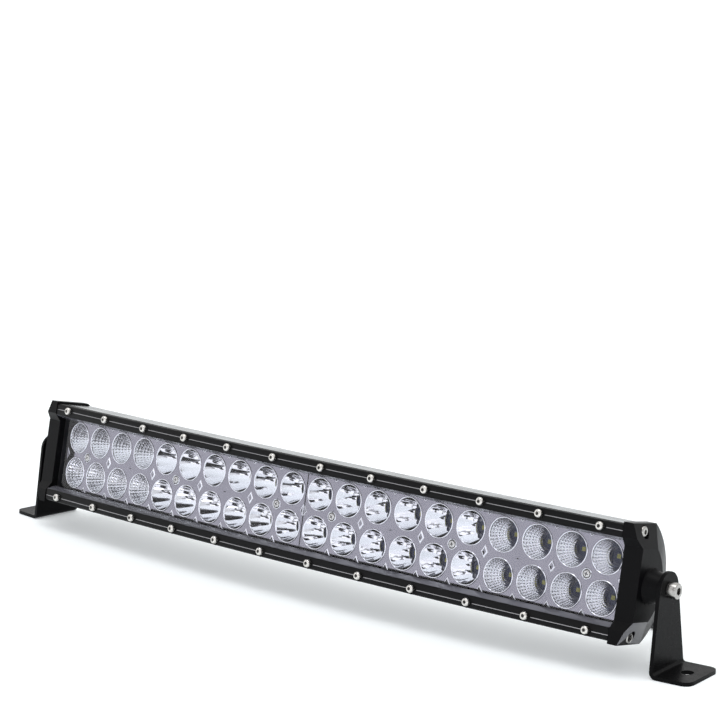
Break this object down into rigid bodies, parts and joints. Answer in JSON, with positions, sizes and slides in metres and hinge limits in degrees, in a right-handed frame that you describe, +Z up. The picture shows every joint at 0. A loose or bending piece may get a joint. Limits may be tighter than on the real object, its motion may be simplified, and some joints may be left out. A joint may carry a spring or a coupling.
{
  "type": "led light bar",
  "caption": "Curved finned light bar with spot and flood reflectors behind a screwed lens, faceted end caps, swivelling foot brackets and a short bare-ended cable.",
  "frame": {"origin": "under the middle of the bar, on the plane that the bracket feet stand on", "axes": "+X along the bar to its right end seen from behind, where the cable leaves; -Y forwards, the way the light shines; +Z up"},
  "size_m": [0.6108, 0.1358, 0.093],
  "materials": {
    "black_anodised": "satin black anodised",
    "black_powder_coat": "satin black powder coat",
    "clear_lens": "clear polycarbonate",
    "chromed_plastic": "vacuum-chromed plastic",
    "steel": "bright screws",
    "black_rubber": "matt",
    "circuit_board": "dark blue solder mask",
    "green_board": "green solder mask",
    "red_wire": "PVC"
  },
  "bodies": {
    "bar": {"housing": "black_anodised", "bezel_rail_upper": "black_anodised", "bezel_rail_lower": "black_anodised", "lens": "clear_lens", "lens_gasket": "black_rubber", "reflector_left": "chromed_plastic", "reflector_right": "chromed_plastic", "led_board_left": "circuit_board", "led_board_right": "circuit_board", "driver_board": "green_board", "end_cap_left": "black_anodised", "end_cap_right": "black_anodised", "end_gasket_left": "black_rubber", "end_gasket_right": "black_rubber", "bracket_bolt_left": "steel", "bracket_bolt_right": "steel", "bezel_screw_upper_01": "steel", "bezel_screw_upper_02": "steel", "bezel_screw_upper_03": "steel", "bezel_screw_upper_04": "steel", "bezel_screw_upper_05": "steel", "bezel_screw_upper_06": "steel", "bezel_screw_upper_07": "steel", "bezel_screw_upper_08": "steel", "bezel_screw_upper_09": "steel", "bezel_screw_upper_10": "steel", "bezel_screw_upper_11": "steel", "bezel_screw_upper_12": "steel", "bezel_screw_lower_01": "steel", "bezel_screw_lower_02": "steel", "bezel_screw_lower_03": "steel", "bezel_screw_lower_04": "steel", "bezel_screw_lower_05": "steel", "bezel_screw_lower_06": "steel", "bezel_screw_lower_07": "steel", "bezel_screw_lower_08": "steel", "bezel_screw_lower_09": "steel", "bezel_screw_lower_10": "steel", "bezel_screw_lower_11": "steel", "bezel_screw_lower_12": "steel", "cap_screw_left_1": "steel", "cap_screw_left_2": "steel", "cap_screw_left_3": "steel", "cap_screw_right_1": "steel", "cap_screw_right_2": "steel", "cap_screw_right_3": "steel", "reflector_screw_1": "steel", "reflector_screw_2": "steel", "reflector_screw_3": "steel", "reflector_screw_4": "steel", "reflector_screw_5": "steel", "reflector_screw_6": "steel", "cable_gland": "black_rubber", "cable_jacket": "black_rubber", "wire_red": "red_wire", "wire_black": "black_rubber"},
    "left_bracket": {"bracket_left": "black_powder_coat"},
    "right_bracket": {"bracket_right": "black_powder_coat"}
  },
  "joints": [
    {"name": "left_bracket_swivel", "type": "hinge", "parent": "bar", "child": "left_bracket", "pos_m": [-0.2794, 0.00919, 0.0512], "axis": [0.9945, -0.1047, 0], "range_deg": [-90, 90]},
    {"name": "right_bracket_swivel", "type": "hinge", "parent": "bar", "child": "right_bracket", "pos_m": [0.2794, 0.00919, 0.0512], "axis": [0.9945, 0.1047, 0], "range_deg": [-90, 90]}
  ]
}
